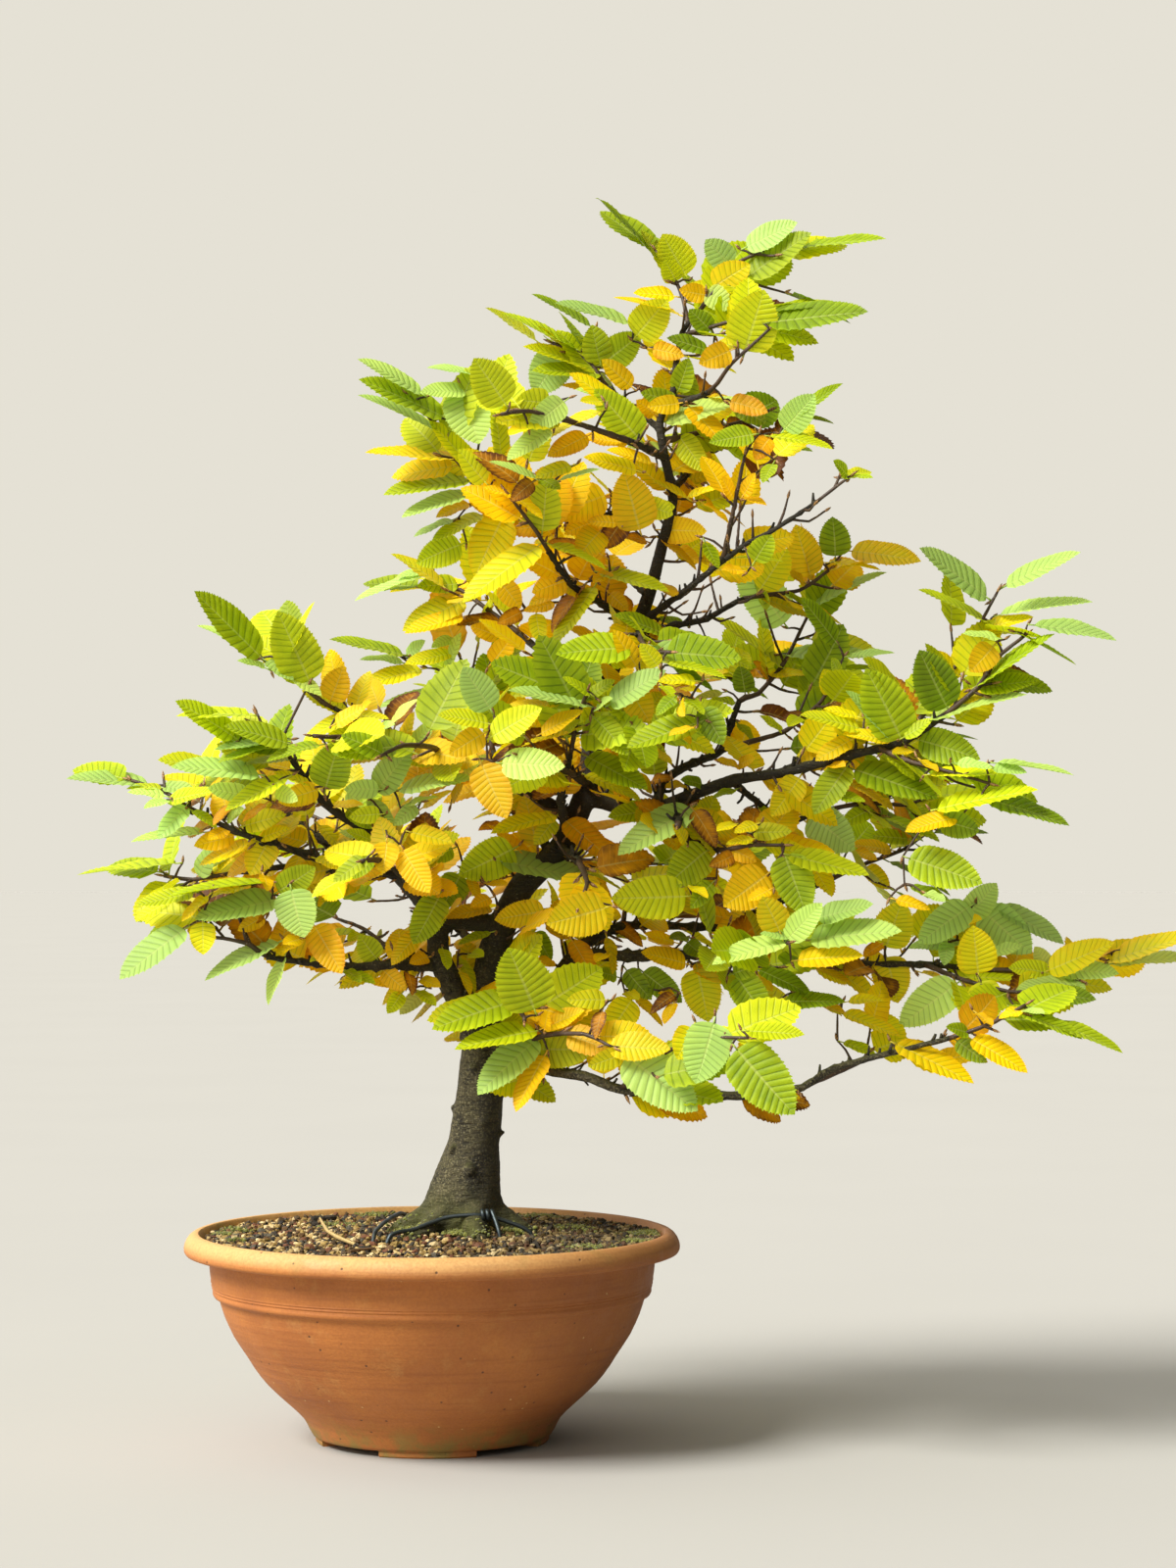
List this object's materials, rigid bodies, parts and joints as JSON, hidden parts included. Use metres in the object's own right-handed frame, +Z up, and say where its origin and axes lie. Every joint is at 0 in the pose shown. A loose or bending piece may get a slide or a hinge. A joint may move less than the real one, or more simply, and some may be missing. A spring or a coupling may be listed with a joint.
{
  "type": "hornbeam bonsai",
  "caption": "Informal upright hornbeam bonsai with pleated, serrate green and yellow leaves on a curved trunk, potted in a round terracotta bowl.",
  "frame": {"origin": "centre of the underside of the pot, on the surface the pot stands on", "axes": "+Z up along the pot's axis, -Y towards the tree's front, +X to the right, where the long low branches reach"},
  "size_m": [0.6868, 0.3555, 0.7563],
  "materials": {
    "terracotta": "fired orange clay, matt with a slight sheen, finely speckled",
    "screen": "black plastic mesh",
    "soil": "mixed granular bonsai soil, tan, brown and grey grit",
    "bark": "thin grey-brown hornbeam bark with fine ridges, moss at the foot",
    "wire": "dark anodised anchor wire",
    "leaf_green": "green and yellow-green leaf blades on brown twigs, satin",
    "leaf_gold": "golden autumn leaf blades on brown twigs, satin",
    "leaf_sprout": "small late green leaves on a brown twig, satin"
  },
  "bodies": {
    "root": {"pot": "terracotta", "drain_screen": "screen", "soil": "soil", "anchor_wire_left": "wire", "anchor_wire_front": "wire", "trunk": "bark", "spray_left_1": "leaf_green", "spray_left_2": "leaf_green", "spray_left_3": "leaf_green", "spray_left_4": "leaf_green", "spray_low_left": "leaf_green", "spray_low_left_back": "leaf_gold", "spray_left_back": "leaf_green", "spray_left_front": "leaf_gold", "spray_up_1": "leaf_green", "spray_up_1_low": "leaf_green", "spray_up_1_front": "leaf_green", "spray_up_2": "leaf_green", "spray_up_3": "leaf_green", "spray_up_4": "leaf_gold", "spray_up_5": "leaf_gold", "spray_up_6": "leaf_green", "spray_up_7": "leaf_green", "spray_up_9": "leaf_green", "spray_low_right": "leaf_green", "spray_low_right_mid": "leaf_gold", "spray_low_right_front": "leaf_green", "spray_front_1": "leaf_green", "spray_front_2": "leaf_gold", "spray_right_2": "leaf_gold", "spray_right_2_low": "leaf_green", "spray_right_2_front": "leaf_green", "spray_right_3": "leaf_green", "spray_right_4": "leaf_green", "spray_right_4_low": "leaf_green", "spray_right_4_top": "leaf_green", "spray_right_5": "leaf_green", "spray_right_6": "leaf_gold", "spray_right_7": "leaf_green", "spray_right_7_low": "leaf_green", "spray_right_8": "leaf_gold", "spray_right_9": "leaf_sprout", "spray_right_10": "leaf_gold", "spray_right_11": "leaf_green", "spray_right_12": "leaf_green", "spray_top_1": "leaf_green", "spray_top_2": "leaf_green", "spray_top_3": "leaf_green", "spray_back_1": "leaf_green", "spray_back_2": "leaf_green", "spray_back_3": "leaf_green", "spray_back_4": "leaf_green", "spray_back_5": "leaf_gold", "spray_back_6": "leaf_green", "spray_back_7": "leaf_green", "spray_front_3": "leaf_gold", "spray_front_4": "leaf_green", "spray_front_5": "leaf_green", "spray_front_6": "leaf_green", "spray_front_7": "leaf_green"}
  },
  "joints": []
}
